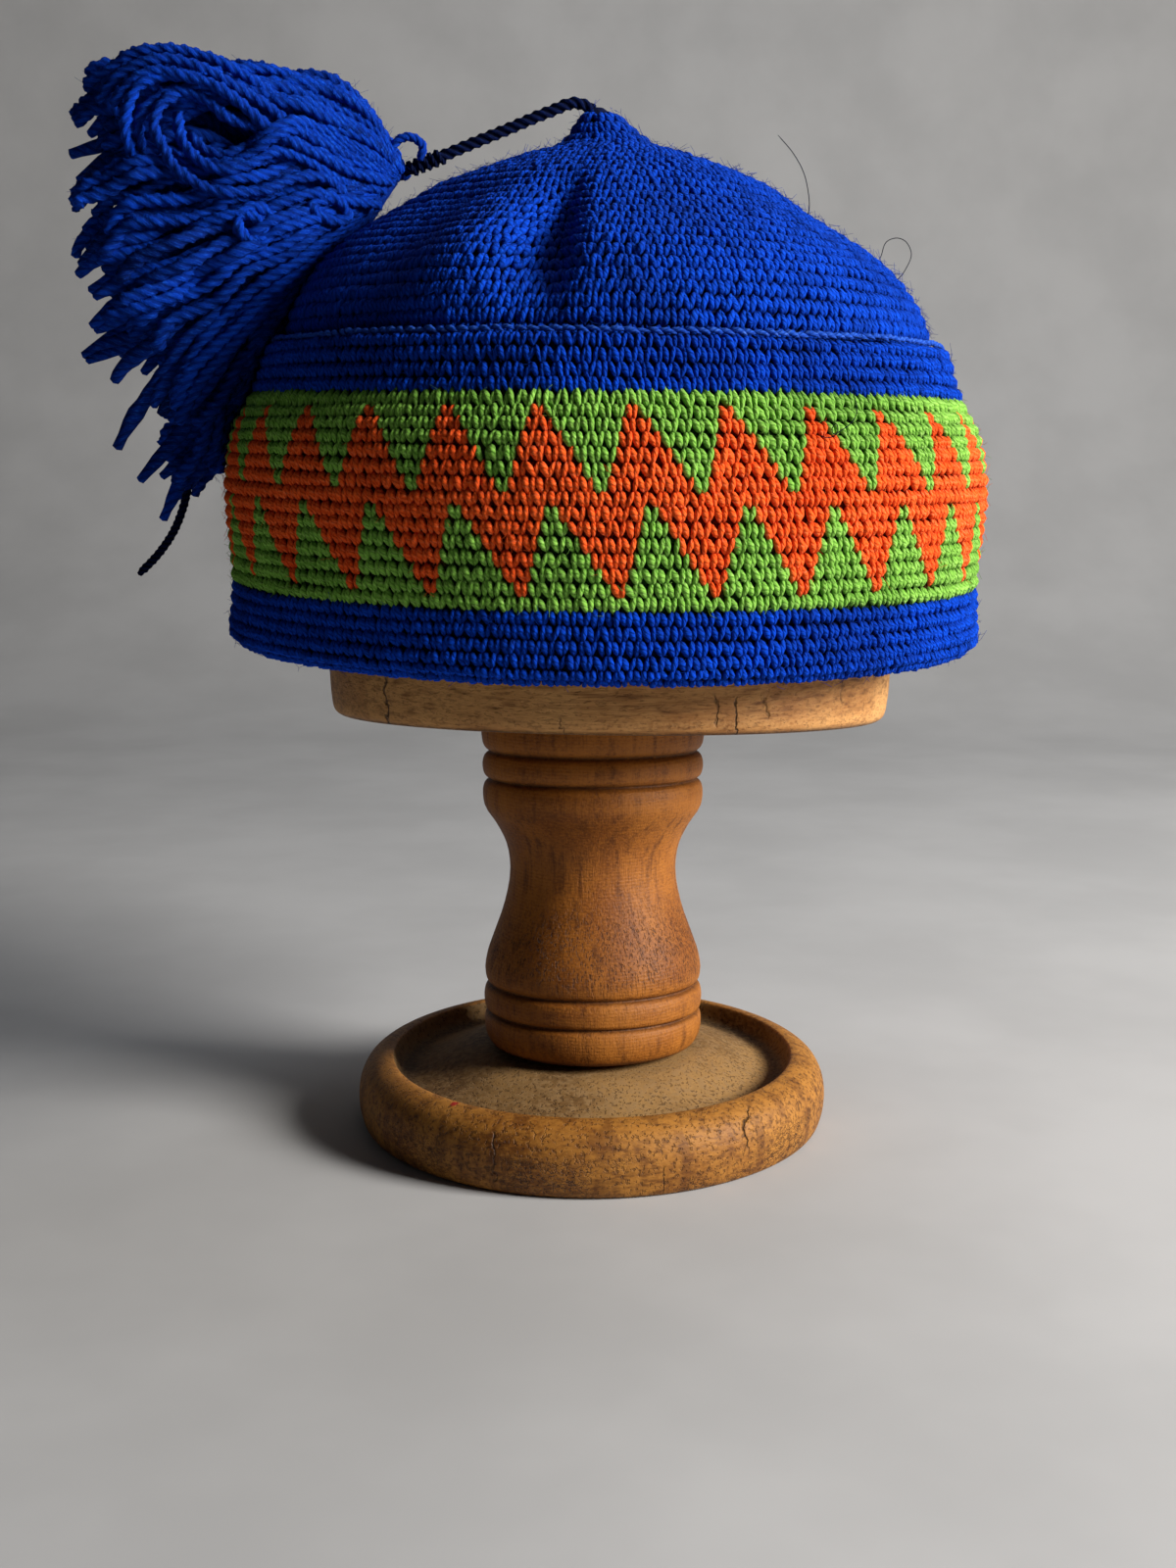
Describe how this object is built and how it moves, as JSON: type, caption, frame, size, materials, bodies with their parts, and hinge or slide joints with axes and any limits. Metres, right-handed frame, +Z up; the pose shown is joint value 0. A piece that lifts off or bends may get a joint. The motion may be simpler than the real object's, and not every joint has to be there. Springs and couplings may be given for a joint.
{
  "type": "pom-pom hat on a wooden stand",
  "caption": "Peaked crocheted wool hat with a zigzag turned-up cuff and a yarn pom-pom on a cord, shown on the turned wooden hat stand that carries it.",
  "frame": {"origin": "middle of the stand base's flat underside, on the table", "axes": "+Z up through the stand, -Y towards the front of the hat, +X to the hat's right as it is looked at"},
  "size_m": [0.2323, 0.1959, 0.2713],
  "materials": {
    "wood": "worn, waxed turned wood",
    "blue_wool": "matt felted wool yarn",
    "band_wool": "matt wool yarn, orange on green with blue edges"
  },
  "bodies": {
    "root": {"stand_base": "wood", "stand_spindle": "wood", "stand_block": "wood", "crown": "blue_wool", "cuff": "band_wool", "cord": "blue_wool", "pompom": "blue_wool", "pompom_tail": "blue_wool"}
  },
  "joints": []
}
